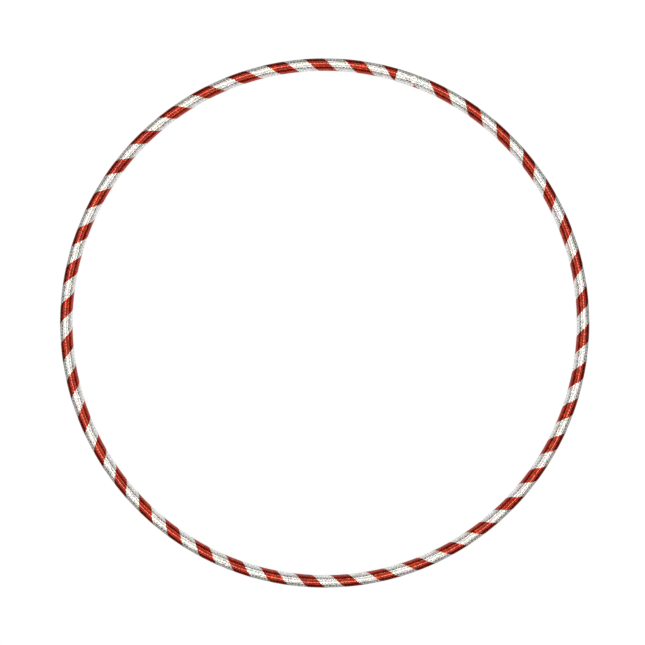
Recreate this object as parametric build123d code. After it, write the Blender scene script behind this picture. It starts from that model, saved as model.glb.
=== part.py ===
from build123d import *
from math import cos, degrees, pi, radians, sin, sqrt
import os

# A rhythmic gymnastics hoop: one plastic tube bent into a ring, plugged and pinned where its
# two ends meet, wound with silver tape, then with a narrower red ribbon over it, and closed
# over the joint by a band of silver tape.
#
# Frame, in millimetres: the hoop lies flat, its axis is Z and the centre of the ring is the
# origin. Angles round the ring run anticlockwise from +X, seen from +Z. Angles round the tube
# run from the outer rim (0) over the top (90) to the inner rim (180) and the underside (270).

# Driving dimensions
INNER_DIAMETER = 850.0       # across the bare tube, inner rim to inner rim
TUBE_DIAMETER = 20.0
TUBE_WALL = 2.0
TAPE_THICKNESS = 0.15        # silver tape, ribbon and band alike

JOINT_ANGLE = 71.7           # where the two ends of the tube meet, round the ring
JOINT_GAP = 0.4              # between the two tube ends

PLUG_LENGTH = 90.0           # half of it inside each end of the tube
PLUG_CHAMFER = 1.5
PIN_DIAMETER = 3.0
PIN_OFFSET = 11.0            # from the joint to each pin, along the tube
PIN_RECESS = 0.3             # each pin end stays this far under the tube's surface

RIBBON_WIDTH = 22.5          # square to the ribbon's edges
RIBBON_START_ANGLE = 64.88   # ring angle of the first turn on the top of the tube, before the drift
RIBBON_PITCH_ANGLE = 8.3265  # ring angle from one turn to the next, on average
RIBBON_DRIFT_ANGLE = 1.69    # how far the hand-wound turns stray from an even pitch, once round
RIBBON_DRIFT_PHASE = 107.0
RIBBON_SWAY_ANGLE = 0.28     # and how far they sway on top of that, twice round
RIBBON_SWAY_PHASE = 229.0
RIBBON_STRAY_ANGLE = 1.9     # how far the ribbon's start, one turn before the first, strays to the joint
RIBBON_FIRST_TURN = -0.80    # turns, counted from the first one on the top; both ends are under the band
RIBBON_LAST_TURN = 42.20
SILVER_EDGE_GAP = 0.6        # between neighbouring turns of silver tape, hidden by the ribbon
SILVER_FIRST_TURN = -0.84
SILVER_LAST_TURN = 42.16

BAND_LOW_ANGLE = 69.5        # the seam band covers the ring between these two angles
BAND_HIGH_ANGLE = 73.9
BAND_START = 200.0           # round the tube: where the band's inner end lies
BAND_RAMP = 24.0             # round the tube: the climb over its own inner end
BAND_LAP = 50.0              # round the tube: how far the outer end laps over the inner one
BAND_GLUE_LINE = 0.03

SECTIONS_PER_TURN = 16       # sections that guide the lofted tape, in each turn
SPANS_PER_TURN = 2           # lofted faces along each side of the tape, in each turn

# Worked out from them
RING_RADIUS = (INNER_DIAMETER + TUBE_DIAMETER) / 2
TUBE_RADIUS = TUBE_DIAMETER / 2
BORE_RADIUS = TUBE_RADIUS - TUBE_WALL
SILVER_RADIUS = TUBE_RADIUS + TAPE_THICKNESS
RIBBON_RADIUS = SILVER_RADIUS + TAPE_THICKNESS
MEAN_PITCH = RING_RADIUS * radians(RIBBON_PITCH_ANGLE)
GIRTH = 2 * pi * SILVER_RADIUS               # round the tube, over the silver tape
SLANT = sqrt(GIRTH ** 2 + MEAN_PITCH ** 2)   # length of one turn of either tape


def ring_degrees(length):
    """The angle round the ring that an arc of the tube's centre line of this length covers."""
    return degrees(length / RING_RADIUS)


def tube_plane(ring_angle):
    """The plane square to the tube: local X points to the outer rim and local Y up."""
    east = cos(radians(ring_angle))
    north = sin(radians(ring_angle))
    return Plane(
        origin=(RING_RADIUS * east, RING_RADIUS * north, 0),
        x_dir=(east, north, 0),
        z_dir=(north, -east, 0),
    )


def polar_point(plane, radius, angle):
    """A point in a plane square to the tube, by its distance and angle from the centre line."""
    across = radius * cos(radians(angle))
    up = radius * sin(radians(angle))
    return plane.from_local_coords(Vector(across, up, 0))


def arc(plane, start_radius, start_angle, end_radius, end_angle):
    """An arc round the tube; its two ends may lie at slightly different radii."""
    middle_radius = (start_radius + end_radius) / 2
    middle_angle = (start_angle + end_angle) / 2
    return Edge.make_three_point_arc(
        polar_point(plane, start_radius, start_angle),
        polar_point(plane, middle_radius, middle_angle),
        polar_point(plane, end_radius, end_angle),
    )


def turned_about_ring(face, sweep_angle):
    """The solid that a section sweeps round the ring, anticlockwise."""
    return Solid.revolve(face, sweep_angle, Axis.Z)


def pin_solids(radius, half_length):
    """The two pins, or the holes for them, upright through the tube on each side of the joint."""
    offset = ring_degrees(PIN_OFFSET)
    pins = []
    for ring_angle in (JOINT_ANGLE - offset, JOINT_ANGLE + offset):
        foot = Vector(
            RING_RADIUS * cos(radians(ring_angle)),
            RING_RADIUS * sin(radians(ring_angle)),
            -half_length,
        )
        pins.append(Solid.make_cylinder(radius, 2 * half_length, Plane(foot)))
    return pins


def joint_pins():
    """Two straight pins with chamfered ends that hold the tube ends on the plug."""
    pins = []
    for pin in pin_solids(PIN_DIAMETER / 2, TUBE_RADIUS - PIN_RECESS):
        rims = pin.edges().filter_by(GeomType.CIRCLE)
        pins.append(pin.chamfer(PIN_RECESS, None, rims))
    return Compound(pins)


def hoop_tube():
    """The tube: open at both ends, which face each other across the joint."""
    half_gap = ring_degrees(JOINT_GAP / 2)
    plane = tube_plane(JOINT_ANGLE + half_gap)
    wall = Face(
        Wire([Edge.make_circle(TUBE_RADIUS, plane)]),
        [Wire([Edge.make_circle(BORE_RADIUS, plane)])],
    )
    tube = turned_about_ring(wall, 360 - 2 * half_gap)
    for hole in pin_solids(PIN_DIAMETER / 2, TUBE_DIAMETER):
        tube = tube.cut(hole)
    return tube


def joint_plug():
    """The solid plug inside both tube ends, chamfered so that it slides in."""
    half_length = ring_degrees(PLUG_LENGTH / 2)
    plane = tube_plane(JOINT_ANGLE - half_length)
    disc = Face(Wire([Edge.make_circle(BORE_RADIUS, plane)]))
    plug = turned_about_ring(disc, 2 * half_length)
    rims = [edge for edge in plug.edges().filter_by(GeomType.CIRCLE) if edge.radius < TUBE_RADIUS]
    plug = plug.chamfer(PLUG_CHAMFER, None, rims)
    for hole in pin_solids(PIN_DIAMETER / 2, TUBE_DIAMETER):
        plug = plug.cut(hole)
    return plug


def winding_angle(turns):
    """The ring angle at which the winding's centre line has made this many turns round the tube.

    At a whole number of turns the centre line crosses the top of the tube. The pitch is drawn
    out a little on one side of the ring and closed up on the other, as a hand winds it, and the
    start of the winding is laid at a sharper slant than the rest.
    """
    even = RIBBON_START_ANGLE - RIBBON_PITCH_ANGLE * turns
    drift = RIBBON_DRIFT_ANGLE * sin(radians(even - RIBBON_DRIFT_PHASE))
    sway = RIBBON_SWAY_ANGLE * sin(radians(2 * even - RIBBON_SWAY_PHASE))
    stray = RIBBON_STRAY_ANGLE * min(turns, 0) ** 2
    return even + drift + sway + stray


def tape_section(turns, half_arc, lead, inner_radius):
    """The wire of a wound tape's section: a thin crescent on the tube, half_arc to each side.

    lead turns the section round the tube from the winding's centre line.
    """
    plane = tube_plane(winding_angle(turns))
    middle = 90 + lead + 360 * turns
    low, high = middle - half_arc, middle + half_arc
    outer_radius = inner_radius + TAPE_THICKNESS
    return Wire([
        arc(plane, outer_radius, low, outer_radius, high),
        Edge.make_line(polar_point(plane, outer_radius, high), polar_point(plane, inner_radius, high)),
        arc(plane, inner_radius, high, inner_radius, low),
        Edge.make_line(polar_point(plane, inner_radius, low), polar_point(plane, outer_radius, low)),
    ])


def wound_tape(first_turn, last_turn, half_arc, lead, inner_radius):
    """A tape wound along the whole ring, as one solid of lofted spans."""
    spans = round((last_turn - first_turn) * SPANS_PER_TURN)
    sections_per_span = SECTIONS_PER_TURN // SPANS_PER_TURN
    steps = spans * sections_per_span
    sections = []
    for step in range(steps + 1):
        turns = first_turn + (last_turn - first_turn) * step / steps
        sections.append(tape_section(turns, half_arc, lead, inner_radius))
    faces = [Face(sections[0]), Face(sections[-1])]
    for span in range(spans):
        start = span * sections_per_span
        faces += Shell.make_loft(sections[start:start + sections_per_span + 1]).faces()
    return Solid(Shell(faces))


def half_arc_of(width):
    """Half the arc round the tube, in degrees, that a wound tape of this width covers."""
    return 180 * width * SLANT / (GIRTH * MEAN_PITCH)


def silver_wrap():
    """The silver base tape, edge to edge; its edges meet under the middle of the red ribbon."""
    full_width = MEAN_PITCH * GIRTH / SLANT
    half_arc = half_arc_of(full_width - SILVER_EDGE_GAP)
    return wound_tape(SILVER_FIRST_TURN, SILVER_LAST_TURN, half_arc, 180, TUBE_RADIUS)


def red_ribbon():
    """The red ribbon, wound over the silver tape."""
    half_arc = half_arc_of(RIBBON_WIDTH)
    return wound_tape(RIBBON_FIRST_TURN, RIBBON_LAST_TURN, half_arc, 0, SILVER_RADIUS)


def seam_band():
    """The band of silver tape round the joint, its outer end lapped over its inner end."""
    plane = tube_plane(BAND_LOW_ANGLE)
    inside = RIBBON_RADIUS
    outside = inside + TAPE_THICKNESS
    lap_inside = outside + BAND_GLUE_LINE
    lap_outside = lap_inside + TAPE_THICKNESS
    climb = BAND_START + 360 - BAND_RAMP
    lap = BAND_START + 360
    end = lap + BAND_LAP
    section = Wire([
        arc(plane, outside, BAND_START, outside, climb),
        arc(plane, outside, climb, lap_outside, lap),
        arc(plane, lap_outside, lap, lap_outside, end),
        Edge.make_line(polar_point(plane, lap_outside, end), polar_point(plane, lap_inside, end)),
        arc(plane, lap_inside, end, lap_inside, lap),
        arc(plane, lap_inside, lap, inside, climb),
        arc(plane, inside, climb, inside, BAND_START),
        Edge.make_line(polar_point(plane, inside, BAND_START), polar_point(plane, outside, BAND_START)),
    ])
    return turned_about_ring(Face(section), BAND_HIGH_ANGLE - BAND_LOW_ANGLE)


PARTS = {
    "hoop_tube": hoop_tube,
    "joint_plug": joint_plug,
    "joint_pins": joint_pins,
    "silver_wrap": silver_wrap,
    "red_ribbon": red_ribbon,
    "seam_band": seam_band,
}

os.makedirs("parts", exist_ok=True)
for name, make in PARTS.items():
    solid = make()
    export_step(solid, f"parts/{name}.step")
    print(f"{name}: {solid.volume / 1000:.2f} cm3")
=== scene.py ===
from math import cos, pi, radians, sin, sqrt, tau

import bmesh
import bpy
import numpy as np
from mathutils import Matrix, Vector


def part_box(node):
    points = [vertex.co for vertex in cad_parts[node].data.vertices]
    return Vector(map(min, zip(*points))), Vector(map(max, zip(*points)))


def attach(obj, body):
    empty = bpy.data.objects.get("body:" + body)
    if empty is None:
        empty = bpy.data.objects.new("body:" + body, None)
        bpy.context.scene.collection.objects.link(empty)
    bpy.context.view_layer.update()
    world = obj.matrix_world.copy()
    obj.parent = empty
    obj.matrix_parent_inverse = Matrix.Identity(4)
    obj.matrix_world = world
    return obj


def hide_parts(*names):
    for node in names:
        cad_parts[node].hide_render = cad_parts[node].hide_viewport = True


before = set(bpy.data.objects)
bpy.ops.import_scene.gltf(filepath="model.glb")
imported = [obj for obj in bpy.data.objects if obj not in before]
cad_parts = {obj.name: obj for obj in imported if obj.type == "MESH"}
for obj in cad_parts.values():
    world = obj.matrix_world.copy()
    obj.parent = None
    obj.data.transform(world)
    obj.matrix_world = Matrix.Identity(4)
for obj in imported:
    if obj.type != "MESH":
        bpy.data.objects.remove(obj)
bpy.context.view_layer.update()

# ---------------------------------------------------------------- sizes
# Lengths are in metres and angles in degrees, unless a name or a comment says otherwise. Angles
# round the ring run anticlockwise from +X. Angles round the tube run from its outer rim over
# its top.
# The tube comes from the frame, and the winding repeats the rule that the CAD tapes follow.
TUBE_LOW, TUBE_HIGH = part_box("hoop_tube")
TUBE_RADIUS = TUBE_HIGH.z
RING_RADIUS = (TUBE_HIGH.x - TUBE_LOW.x) / 2 - TUBE_RADIUS
TAPE = 0.00015                  # thickness of every tape
SILVER_TOP = TUBE_RADIUS + TAPE
RIBBON_TOP = SILVER_TOP + TAPE

RIBBON_WIDTH = 0.0225
RIBBON_START_ANGLE = 64.88
RIBBON_PITCH_ANGLE = 8.3265
RIBBON_DRIFT_ANGLE = 1.69       # the hand-wound turns stray this far, once round the ring
RIBBON_DRIFT_PHASE = 107.0
RIBBON_SWAY_ANGLE = 0.28        # and this far, twice round it
RIBBON_SWAY_PHASE = 229.0
RIBBON_STRAY_ANGLE = 1.9        # and this far one turn before the first, towards the joint
RIBBON_TURNS = (-0.80, 42.20)
SILVER_TURNS = (-0.84, 42.16)
SILVER_EDGE_GAP = 0.0006

BAND_LOW_ANGLE = 69.5
BAND_HIGH_ANGLE = 73.9
BAND_START = 200.0              # round the tube, where the band's inner end lies
BAND_RAMP = 24.0
BAND_LAP = 50.0
BAND_LIFT = 1.1 * TAPE          # of the band's outer end, over its inner end
BAND_SLOPE = 3.0                # round the tube, where the band comes down beside the ribbon
UNDER_BAND_TURNS = ((RIBBON_TURNS[0], 0.5), (41.0, RIBBON_TURNS[1]))  # the ribbon's two ends

GIRTH = tau * SILVER_TOP
PITCH = RING_RADIUS * radians(RIBBON_PITCH_ANGLE)
SLANT = sqrt(GIRTH ** 2 + PITCH ** 2)        # length of one turn of tape
TURN_WIDTH = PITCH * GIRTH / SLANT           # across the tape, from one turn to the next
SILVER_WIDTH = TURN_WIDTH - SILVER_EDGE_GAP

# The foil's embossing: rows of nearly square cells that run along the hoop
CELL_LENGTH = 0.0053
CELLS_ROUND = 13                # round the tube
RELIEF = 0.00003                # height of the embossing in the mesh itself

# The foil's finish, where it is the same for all three tapes
BUMP_HEIGHT = 0.002             # of one unit of height in the foil materials
BORDER_START = 0.29             # where a cell's matt border starts, in cells from its middle
BORDER_RISE = 7.0               # and how fast it turns matt
BORDER_ROUGHNESS = 0.65
FLECKS_PER_CELL = 4.0           # small crumples
CRUMPLE_HEIGHT = 0.006
CRUMPLE_ROUGHNESS = 0.08
FILM_ROUGHNESS = 0.06           # of the clear film on top
CUT_EDGE = 0.0007               # how far a tape's cut edge shows

# Spacing of the points that the tapes are made of
ROW_SPACING = 0.0047            # along a wound tape, on its underside
ROWS_ABOVE = 3                  # rows of points on top to each row on the underside
UNDERSIDE_SPACING = 0.0021      # across a wound tape, on its underside
UNDERSIDE_LIFT = 0.00005        # brings the underside's flats back to its radius, on average
RIBBON_COLUMNS = 21
SILVER_FINE_HALF = 0.0122       # the silver tape is finely meshed this far from its middle
SILVER_FINE_SPACING = 0.00135
SILVER_COARSE_SPACING = 0.0017  # and less finely where the ribbon hides it
BAND_SPACING = 0.0004
UNDER_BAND_SAMPLES = 400        # along each end of the ribbon
SHARP_EDGE = 50.0               # steeper edges than this are shaded sharp

# What the foil reflects: brightness by the angle from straight up, from below upwards
SKY = (
    (180, 0.45), (115, 0.40), (106, 0.30), (97, 0.02), (65, 0.02),
    (57, 0.25), (48, 0.60), (38, 0.74), (0, 0.74),
)
FLOOR_GLOW = 1.00               # what the foil sees of the floor inside the hoop
LAMP_LOW = (0.63, 1.36)         # radius and height of the ring lamp's lower and upper edges
LAMP_HIGH = (0.89, 1.61)
LAMP_GLOW = 10.0
LAMP_COLOUR = (1, 0.91, 0.73, 1)
GLOW_COLOUR = (1, 0.98, 0.94, 1)
GLOW_HOLE = 0.001               # radius left open in the middle of the floor's glow
RING_SQUARES = 96               # in the lamp and in the floor's glow

CAMERA_PLACE = (-0.0037, 0.0008, 1.6)
PICTURE_WIDTH = 1.0859          # what the picture spans at the height of the hoop
FLOOR_HALF = 60.0
ROOM_RADIUS = 55.0
WHITE = (1, 1, 1, 1)


# ---------------------------------------------------------------- the winding
def winding_angle(turns):
    """Ring angle after this many turns of the winding's centre line round the tube."""
    even = RIBBON_START_ANGLE - RIBBON_PITCH_ANGLE * turns
    drift = RIBBON_DRIFT_ANGLE * np.sin(np.radians(even - RIBBON_DRIFT_PHASE))
    sway = RIBBON_SWAY_ANGLE * np.sin(np.radians(2 * even - RIBBON_SWAY_PHASE))
    stray = RIBBON_STRAY_ANGLE * np.minimum(turns, 0) ** 2
    return even + drift + sway + stray


def ring_points(ring_angle, tube_angle, radius):
    """Points at this radius from the tube's centre line."""
    ring = np.radians(ring_angle)
    tube = np.radians(tube_angle)
    reach = RING_RADIUS + radius * np.cos(tube)
    return np.stack([reach * np.cos(ring), reach * np.sin(ring), radius * np.sin(tube)], -1)


def cells_at(length, tube_angle):
    """A place counted in embossed cells: along the hoop, and round the tube."""
    return np.stack([length / CELL_LENGTH, tube_angle / 360 * CELLS_ROUND], -1)


def foil_top(base, cells):
    """Radius of a tape's embossed outer surface, over a base at this radius."""
    boss = np.sin(pi * cells[..., 0]) ** 2 * np.sin(pi * cells[..., 1]) ** 2
    return base + TAPE - RELIEF * (1 - boss)


# ---------------------------------------------------------------- meshes
def new_piece(node, points, faces, cells, material):
    """A closed mesh on the root body, in place of a CAD node. cells holds its texture places."""
    name = node + "_foil"
    mesh = bpy.data.meshes.new(name)
    mesh.from_pydata(np.concatenate([part.reshape(-1, 3) for part in points]).tolist(), [], faces)
    shell = bmesh.new()
    shell.from_mesh(mesh)
    bmesh.ops.recalc_face_normals(shell, faces=shell.faces)
    shell.to_mesh(mesh)
    shell.free()

    uv = np.concatenate([part.reshape(-1, 2) for part in cells])
    corners = np.empty(len(mesh.loops), np.int32)
    mesh.loops.foreach_get("vertex_index", corners)
    layer = mesh.uv_layers.new(name="tape")
    layer.data.foreach_set("uv", uv[corners].astype(np.float32).ravel())
    mesh.shade_smooth()
    mesh.set_sharp_from_angle(angle=radians(SHARP_EDGE))
    mesh.materials.append(material)

    piece = bpy.data.objects.new(name, mesh)
    bpy.context.scene.collection.objects.link(piece)
    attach(piece, "root")
    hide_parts(node)


def grid_faces(first, rows, columns):
    """Triangles between the points of a grid that starts at this point number.

    Of each square's two diagonals they use the one that turns least round the tube.
    """
    faces = []
    for row in range(rows - 1):
        start = first + row * columns
        for a in range(start, start + columns - 1):
            b, c, d = a + 1, a + 1 + columns, a + columns
            faces += [(a, b, d), (b, c, d)]
    return faces


def side_wall(top, bottom):
    """A wall between a row of points above and the coarser row below it."""
    faces = []
    for i in range(len(bottom) - 1):
        upper = top[i * ROWS_ABOVE:(i + 1) * ROWS_ABOVE + 1]
        faces.append((*upper, bottom[i + 1], bottom[i]))
    return faces


def tape_grid(ends, rows, columns, lead):
    """Turns and tube angles of the points of a wound tape.

    Each row of points goes round the tube at one ring angle, so the tape's ends are square to
    the hoop. lead is the tube angle from the ribbon's centre line to the tape's.
    """
    turns = np.linspace(*ends, rows)[:, None]
    tube_angle = 90 + lead + 360 * (turns + columns * SLANT / GIRTH / PITCH)
    return np.broadcast_to(turns, tube_angle.shape), tube_angle


def wound_tape(node, ends, columns, lead, base, material):
    """A tape wound round the whole hoop: embossed above, plain below, closed at its edges.

    columns are the places across the tape of the lines of points above.
    """
    low_rows = round((ends[1] - ends[0]) * SLANT / ROW_SPACING) + 1
    rows = (low_rows - 1) * ROWS_ABOVE + 1
    low_count = round((columns[-1] - columns[0]) / UNDERSIDE_SPACING)
    low_columns = np.linspace(columns[0], columns[-1], low_count)
    width = len(columns)

    turns, tube_angle = tape_grid(ends, rows, columns, lead)
    low_turns, low_tube_angle = tape_grid(ends, low_rows, low_columns, lead)
    cells = cells_at(turns * PITCH, tube_angle)
    low_cells = cells_at(low_turns * PITCH, low_tube_angle)
    top = ring_points(winding_angle(turns), tube_angle, foil_top(base, cells))
    bottom = ring_points(winding_angle(low_turns), low_tube_angle, base + UNDERSIDE_LIFT)

    above = np.arange(rows * width).reshape(rows, width)
    below = above.size + np.arange(low_rows * low_count).reshape(low_rows, low_count)
    faces = grid_faces(0, rows, width) + grid_faces(above.size, low_rows, low_count)
    for side in (0, -1):
        faces += side_wall(above[:, side].tolist(), below[:, side].tolist())
    for end in (0, -1):
        faces.append((*below[end].tolist(), *above[end, ::-1].tolist()))
    new_piece(node, (top, bottom), faces, (cells, low_cells), material)


def silver_columns():
    """Places across the silver tape: close together where it shows, wider apart at its edges."""
    count = round(2 * SILVER_FINE_HALF / SILVER_FINE_SPACING) + 1
    fine = np.arange(count) * SILVER_FINE_SPACING - SILVER_FINE_HALF
    edge = SILVER_WIDTH / 2
    coarse_count = round((edge - fine[-1]) / SILVER_COARSE_SPACING)
    coarse = np.linspace(fine[-1], edge, coarse_count + 1)[1:]
    return np.concatenate([-coarse[::-1], fine, coarse])


def ribbon_under(ring_angle, tube_angle):
    """How much of the ribbon, 0 to 1, lies under a place on the band: its two ends stop there."""
    half_arc = 180 * RIBBON_WIDTH / TURN_WIDTH
    under = np.zeros_like(tube_angle)
    for low_turn, high_turn in UNDER_BAND_TURNS:
        turns = np.linspace(high_turn, low_turn, UNDER_BAND_SAMPLES)
        angles = winding_angle(turns) % 360
        turn = np.interp(ring_angle, angles, turns)
        offset = (tube_angle - 90 - 360 * turn + 180) % 360 - 180
        inside = np.clip((half_arc - abs(offset)) / BAND_SLOPE + 1, 0, 1)
        reached = (ring_angle >= angles[0]) & (ring_angle <= angles[-1])
        under = np.maximum(under, inside * reached)
    return under


def seam_band(material):
    """The silver band round the joint: it drapes over the ribbon's ends and laps on itself."""
    width = radians(BAND_HIGH_ANGLE - BAND_LOW_ANGLE) * RING_RADIUS
    length = radians(360 + BAND_LAP) * RIBBON_TOP
    rows = round(length / BAND_SPACING) + 1
    columns = round(width / BAND_SPACING) + 1
    along, across = np.meshgrid(
        np.linspace(0, length, rows), np.linspace(0, width, columns), indexing="ij",
    )
    tube_angle = BAND_START + np.degrees(along / RIBBON_TOP)
    ring_angle = BAND_LOW_ANGLE + np.degrees(across / RING_RADIUS)
    climb = np.clip((tube_angle - (BAND_START + 360 - BAND_RAMP)) / BAND_RAMP, 0, 1)
    climb = climb * climb * (3 - 2 * climb)
    base = SILVER_TOP + TAPE * ribbon_under(ring_angle, tube_angle) + BAND_LIFT * climb
    cells = cells_at(across, tube_angle)
    top = ring_points(ring_angle, tube_angle, foil_top(base, cells))
    bottom = ring_points(ring_angle, tube_angle, base)

    above = np.arange(rows * columns).reshape(rows, columns)
    faces = grid_faces(0, rows, columns) + grid_faces(above.size, rows, columns)
    rim = np.concatenate([above[0], above[1:, -1], above[-1, -2::-1], above[-2:0:-1, 0]]).tolist()
    for a, b in zip(rim, rim[1:] + rim[:1]):
        faces.append((a, b, above.size + b, above.size + a))
    new_piece("seam_band", (top, bottom), faces, (cells, cells), material)


# ---------------------------------------------------------------- materials
class Graph:
    """Short calls that add and link the shader nodes of one material."""

    def __init__(self, name):
        self.material = bpy.data.materials.new(name)
        self.material.use_nodes = True
        self.tree = self.material.node_tree
        self.surface = self.tree.nodes["Principled BSDF"]

    def put(self, socket, value):
        """Link an output to a socket, or set the socket's own value."""
        if isinstance(value, bpy.types.NodeSocket):
            self.tree.links.new(value, socket)
        elif value is not None:
            socket.default_value = value

    def node(self, kind, *inputs, **settings):
        new = self.tree.nodes.new(kind)
        for key, value in settings.items():
            setattr(new, key, value)
        for socket, value in zip(new.inputs, inputs):
            self.put(socket, value)
        return new

    def math(self, operation, a, b=None, clamp=False):
        return self.node("ShaderNodeMath", a, b, operation=operation, use_clamp=clamp).outputs[0]

    def vector(self, operation, a, b=None):
        new = self.node("ShaderNodeVectorMath", a, b, operation=operation)
        return new.outputs["Value" if operation == "DOT_PRODUCT" else "Vector"]

    def noise(self, place):
        """A value and a colour that are random from place to place."""
        return self.node("ShaderNodeTexWhiteNoise", place, noise_dimensions="3D").outputs

    def bump(self, height, distance):
        bump = self.node("ShaderNodeBump")
        bump.inputs["Strength"].default_value = 1.0
        bump.inputs["Distance"].default_value = distance
        self.put(bump.inputs["Height"], height)
        return bump.outputs["Normal"]

    def mix(self, factor, a, b):
        new = self.tree.nodes.new("ShaderNodeMix")
        new.data_type = "RGBA"
        for name, value in (("Factor_Float", factor), ("A_Color", a), ("B_Color", b)):
            socket = next(i for i in new.inputs if i.identifier == name)
            self.put(socket, value)
        return next(o for o in new.outputs if o.identifier == "Result_Color")

    def ramp(self, factor, *stops):
        new = self.node("ShaderNodeValToRGB", factor)
        elements = new.color_ramp.elements
        while len(elements) < len(stops):
            elements.new(0.5)
        for element, (position, colour) in zip(elements, stops):
            element.position = position
            element.color = (*colour, 1)
        return new.outputs["Color"]

    def set(self, **values):
        """Set inputs of the surface shader."""
        for name, value in values.items():
            self.put(self.surface.inputs[name.replace("_", " ")], value)


def cell_border(g, local):
    """0 in the middle of a cell and 1 at its border."""
    sides = g.node("ShaderNodeSeparateXYZ", g.vector("ABSOLUTE", local))
    reach = g.math("MAXIMUM", sides.outputs["X"], sides.outputs["Y"])
    return g.math("MULTIPLY", g.math("SUBTRACT", reach, BORDER_START), BORDER_RISE, clamp=True)


def cut_edge(g, place, half_width, start_angle):
    """1 along a tape's cut edges and 0 inside them.

    start_angle is the tube angle at which the tape's centre line starts.
    """
    slope = (-CELL_LENGTH / PITCH * TURN_WIDTH, TURN_WIDTH / CELLS_ROUND, 0.0)
    offset = TURN_WIDTH * start_angle / 360
    across = g.math("SUBTRACT", g.vector("DOT_PRODUCT", place, slope), offset)
    from_edge = g.math("SUBTRACT", half_width, g.math("ABSOLUTE", across))
    return g.math("SUBTRACT", 1.0, g.math("DIVIDE", from_edge, CUT_EDGE), clamp=True)


def foil(name, tones, metal, dome, tilt, tint, smoothest, coat, rim=WHITE, edge=None):
    """Embossed metallic film. tones are the dull, common and bright colours of its cells.

    Each cell is a small mirror, flat in its middle and round at its edges, that leans its own
    way; between the cells the film is matt. edge holds the colour of the tape's cut edges, half
    the tape's width, and the tube angle at which its centre line starts.
    """
    g = Graph(name)
    place = g.node("ShaderNodeUVMap", uv_map="tape").outputs["UV"]
    centred = g.vector("SUBTRACT", g.vector("FRACTION", place), (0.5, 0.5, 0.5))
    local = g.vector("MULTIPLY", centred, (1.0, 1.0, 0.0))
    random = g.noise(g.vector("FLOOR", place))
    chance = random["Value"]
    flecks = g.node("ShaderNodeTexVoronoi", place, feature="F1", voronoi_dimensions="2D")
    flecks.inputs["Scale"].default_value = FLECKS_PER_CELL
    crumple = g.noise(flecks.outputs["Position"])["Value"]

    square = g.vector("DOT_PRODUCT", local, local)
    boss = g.math("MULTIPLY", g.math("MULTIPLY", square, square), -dome)
    way = g.vector("SUBTRACT", random["Color"], (0.5, 0.5, 0.5))
    lean = g.math("MULTIPLY", g.vector("DOT_PRODUCT", local, way), tilt)
    height = g.math("ADD", boss, lean)
    height = g.math("ADD", height, g.math("MULTIPLY", crumple, CRUMPLE_HEIGHT))

    border = cell_border(g, local)
    rough = g.math("ADD", smoothest, g.math("MULTIPLY", crumple, CRUMPLE_ROUGHNESS))
    rough = g.math("ADD", rough, g.math("MULTIPLY", border, BORDER_ROUGHNESS))

    colour = g.ramp(chance, (0.0, tones[0]), (0.5, tones[1]), (1.0, tones[2]))
    hue = g.node("ShaderNodeCombineColor", chance, tint, 1.0, mode="HSV").outputs["Color"]
    colour = g.vector("MULTIPLY", colour, hue)
    if edge:
        edge_colour, half_width, start_angle = edge
        colour = g.mix(cut_edge(g, place, half_width, start_angle), colour, (*edge_colour, 1))
    g.set(Base_Color=colour, Metallic=metal, Roughness=rough, Normal=g.bump(height, BUMP_HEIGHT))
    g.set(Coat_Weight=coat, Coat_Roughness=FILM_ROUGHNESS, Specular_Tint=rim)
    return g.material


def plain_plastic(name, dark, light, roughness):
    """Extruded or turned plastic: a little clouded, with faint tool lines."""
    g = Graph(name)
    place = g.node("ShaderNodeTexCoord").outputs["Object"]
    cloud = g.node("ShaderNodeTexNoise", place)
    cloud.inputs["Scale"].default_value = 90.0
    lines = g.node("ShaderNodeTexWave", place, wave_type="RINGS", rings_direction="Z")
    lines.inputs["Scale"].default_value = 400.0
    lines.inputs["Distortion"].default_value = 2.0
    g.set(Base_Color=g.ramp(cloud.outputs["Fac"], (0.3, dark), (0.7, light)))
    g.set(Roughness=roughness, Normal=g.bump(lines.outputs["Fac"], 0.00003))
    return g.material


def drawn_metal(name):
    """Plain drawn pin: fine scratches along its length."""
    g = Graph(name)
    place = g.node("ShaderNodeTexCoord").outputs["Object"]
    stretched = g.node("ShaderNodeMapping", place)
    stretched.inputs["Scale"].default_value = (3000.0, 3000.0, 60.0)
    scratch = g.node("ShaderNodeTexNoise", stretched.outputs["Vector"]).outputs["Fac"]
    g.set(Base_Color=g.ramp(scratch, (0.3, (0.5, 0.5, 0.51)), (0.7, (0.75, 0.75, 0.76))))
    g.set(Metallic=1.0, Roughness=0.35)
    return g.material


def dress_cad_nodes():
    """The plastic and the pins under the tapes keep their CAD shapes and get their own finish."""
    finishes = {
        "hoop_tube": plain_plastic("tube_plastic", (0.74, 0.74, 0.71), (0.88, 0.88, 0.86), 0.45),
        "joint_plug": plain_plastic("plug_plastic", (0.58, 0.57, 0.52), (0.75, 0.74, 0.70), 0.55),
        "joint_pins": drawn_metal("pin_metal"),
    }
    for node, material in finishes.items():
        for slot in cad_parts[node].material_slots:
            slot.material = material


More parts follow.
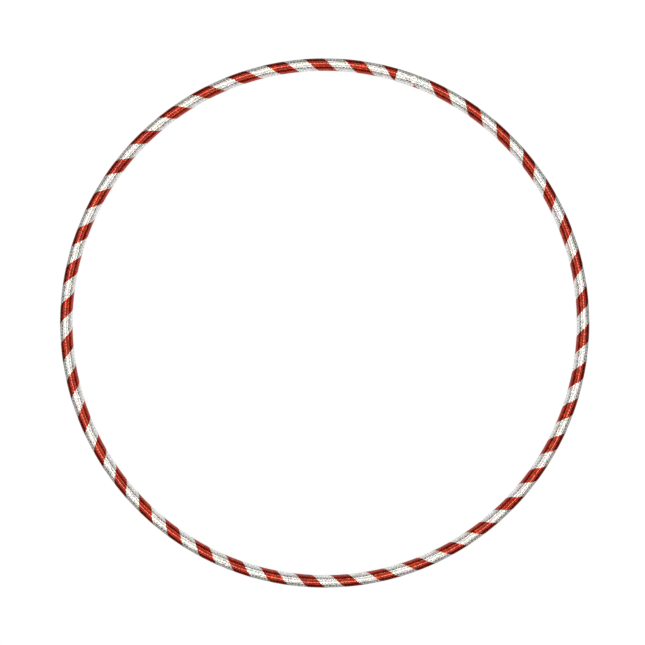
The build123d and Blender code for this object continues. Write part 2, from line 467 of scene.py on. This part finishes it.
def wrap_tapes():
    """The three foil tapes, with their finishes."""
    silver_tones = ((0.74, 0.75, 0.77), (0.88, 0.89, 0.90), (0.97, 0.97, 0.98))
    red_tones = ((0.32, 0.007, 0.002), (0.41, 0.020, 0.003), (0.52, 0.050, 0.006))
    silver_foil = foil(
        "silver_foil", silver_tones, metal=0.88, dome=1.7, tilt=0.35, tint=0.08,
        smoothest=0.12, coat=0.15, edge=((0.8, 0.8, 0.8), SILVER_WIDTH / 2, 270),
    )
    red_foil = foil(
        "red_foil", red_tones, metal=1.0, dome=1.7, tilt=0.30, tint=0.0, smoothest=0.09,
        coat=0.75, rim=(0.9, 0.2, 0.15, 1), edge=((0.9, 0.55, 0.42), RIBBON_WIDTH / 2, 90),
    )
    band_foil = foil(
        "band_foil", silver_tones, metal=0.88, dome=1.5, tilt=1.0, tint=0.06,
        smoothest=0.12, coat=0.15,
    )
    ribbon_columns = np.linspace(-RIBBON_WIDTH / 2, RIBBON_WIDTH / 2, RIBBON_COLUMNS)
    wound_tape(
        "silver_wrap", SILVER_TURNS, silver_columns(), 180, TUBE_RADIUS, silver_foil,
    )
    wound_tape(
        "red_ribbon", RIBBON_TURNS, ribbon_columns, 0, SILVER_TOP, red_foil,
    )
    seam_band(band_foil)


# ---------------------------------------------------------------- stage, light and camera
def stage_mesh(name, points, faces, material):
    mesh = bpy.data.meshes.new(name)
    mesh.from_pydata(points, [], faces)
    mesh.materials.append(material)
    piece = bpy.data.objects.new(name, mesh)
    bpy.context.scene.collection.objects.link(piece)
    return piece


def hide_from(piece, *rays):
    for ray in rays:
        setattr(piece, "visible_" + ray, False)


def floor():
    """A plain white floor that glows, so that it stays even. From below it isn't seen."""
    g = Graph("floor_paint")
    g.set(Base_Color=(0.04, 0.04, 0.04, 1), Roughness=0.9, Specular_IOR_Level=0.0)
    g.set(Emission_Color=WHITE, Emission_Strength=0.97)
    clear = g.node("ShaderNodeBsdfTransparent").outputs[0]
    below = g.node("ShaderNodeNewGeometry").outputs["Backfacing"]
    mixed = g.node("ShaderNodeMixShader", below, g.surface.outputs[0], clear).outputs[0]
    g.put(g.tree.nodes["Material Output"].inputs["Surface"], mixed)

    low = min(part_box(node)[0].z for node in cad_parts)
    corners = [(-1, -1), (1, -1), (1, 1), (-1, 1)]
    points = [(x * FLOOR_HALF, y * FLOOR_HALF, low) for x, y in corners]
    hide_from(stage_mesh("floor", points, [(0, 1, 2, 3)], g.material), "glossy")


def glowing(name, colour, strength):
    material = bpy.data.materials.new(name)
    material.use_nodes = True
    tree = material.node_tree
    tree.nodes.remove(tree.nodes["Principled BSDF"])
    glow = tree.nodes.new("ShaderNodeEmission")
    glow.inputs["Color"].default_value = colour
    glow.inputs["Strength"].default_value = strength
    tree.links.new(glow.outputs[0], tree.nodes["Material Output"].inputs["Surface"])
    return material


def backdrop():
    """A plain white room round the floor, which only the camera sees."""
    bpy.ops.mesh.primitive_uv_sphere_add(radius=ROOM_RADIUS, segments=32, ring_count=16)
    piece = bpy.context.object
    piece.name = "backdrop"
    piece.data.materials.append(glowing("backdrop_paint", WHITE, 1.0))
    hide_from(piece, "diffuse", "glossy", "transmission", "shadow", "volume_scatter")


def sky():
    """What the foil reflects: a bright ceiling, dark walls and a pale floor."""
    world = bpy.data.worlds.new("studio")
    bpy.context.scene.world = world
    world.use_nodes = True
    tree = world.node_tree
    place = tree.nodes.new("ShaderNodeTexCoord")
    split = tree.nodes.new("ShaderNodeSeparateXYZ")
    spread = tree.nodes.new("ShaderNodeMapRange")
    spread.inputs["From Min"].default_value = -1.0
    ramp = tree.nodes.new("ShaderNodeValToRGB")
    tree.links.new(place.outputs["Generated"], split.inputs[0])
    tree.links.new(split.outputs["Z"], spread.inputs["Value"])
    tree.links.new(spread.outputs["Result"], ramp.inputs["Fac"])
    tree.links.new(ramp.outputs["Color"], tree.nodes["Background"].inputs["Color"])
    elements = ramp.color_ramp.elements
    while len(elements) < len(SKY):
        elements.new(0.5)
    for element, (from_zenith, grey) in zip(elements, SKY):
        element.position = (cos(radians(from_zenith)) + 1) / 2
        element.color = (grey, grey, grey, 1)


def ring_mesh(name, edges, material):
    """A band of squares round the axis, between edges given as (radius, height)."""
    points, faces = [], []
    for i in range(RING_SQUARES):
        angle = tau * i / RING_SQUARES
        points += [(radius * cos(angle), radius * sin(angle), height) for radius, height in edges]
        a, b = 2 * i, 2 * ((i + 1) % RING_SQUARES)
        faces.append((a, b, b + 1, a + 1))
    piece = stage_mesh(name, points, faces, material)
    hide_from(piece, "camera")
    return piece


def lights():
    """A soft ring lamp over the hoop, wider than it, and the floor's glow inside the hoop."""
    lamp = glowing("lamp_glow", LAMP_COLOUR, LAMP_GLOW)
    ring_mesh("ring_lamp", (LAMP_LOW, LAMP_HIGH), lamp)
    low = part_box("seam_band")[0].z
    patch = ((GLOW_HOLE, low), (RING_RADIUS - TUBE_RADIUS, low))
    glow = glowing("floor_glow", GLOW_COLOUR, FLOOR_GLOW)
    hide_from(ring_mesh("floor_glow", patch, glow), "diffuse", "transmission", "shadow")


def camera_above():
    """Straight above the hoop, so that the hoop is a circle in the picture."""
    data = bpy.data.cameras.new("camera")
    data.sensor_width = 36.0
    data.lens = data.sensor_width * CAMERA_PLACE[2] / PICTURE_WIDTH
    camera = bpy.data.objects.new("camera", data)
    camera.location = CAMERA_PLACE
    bpy.context.scene.collection.objects.link(camera)
    bpy.context.scene.camera = camera


# ---------------------------------------------------------------- the making
camera_above()
floor()
backdrop()
sky()
lights()
bpy.context.scene.view_settings.view_transform = "Standard"
wrap_tapes()
dress_cad_nodes()
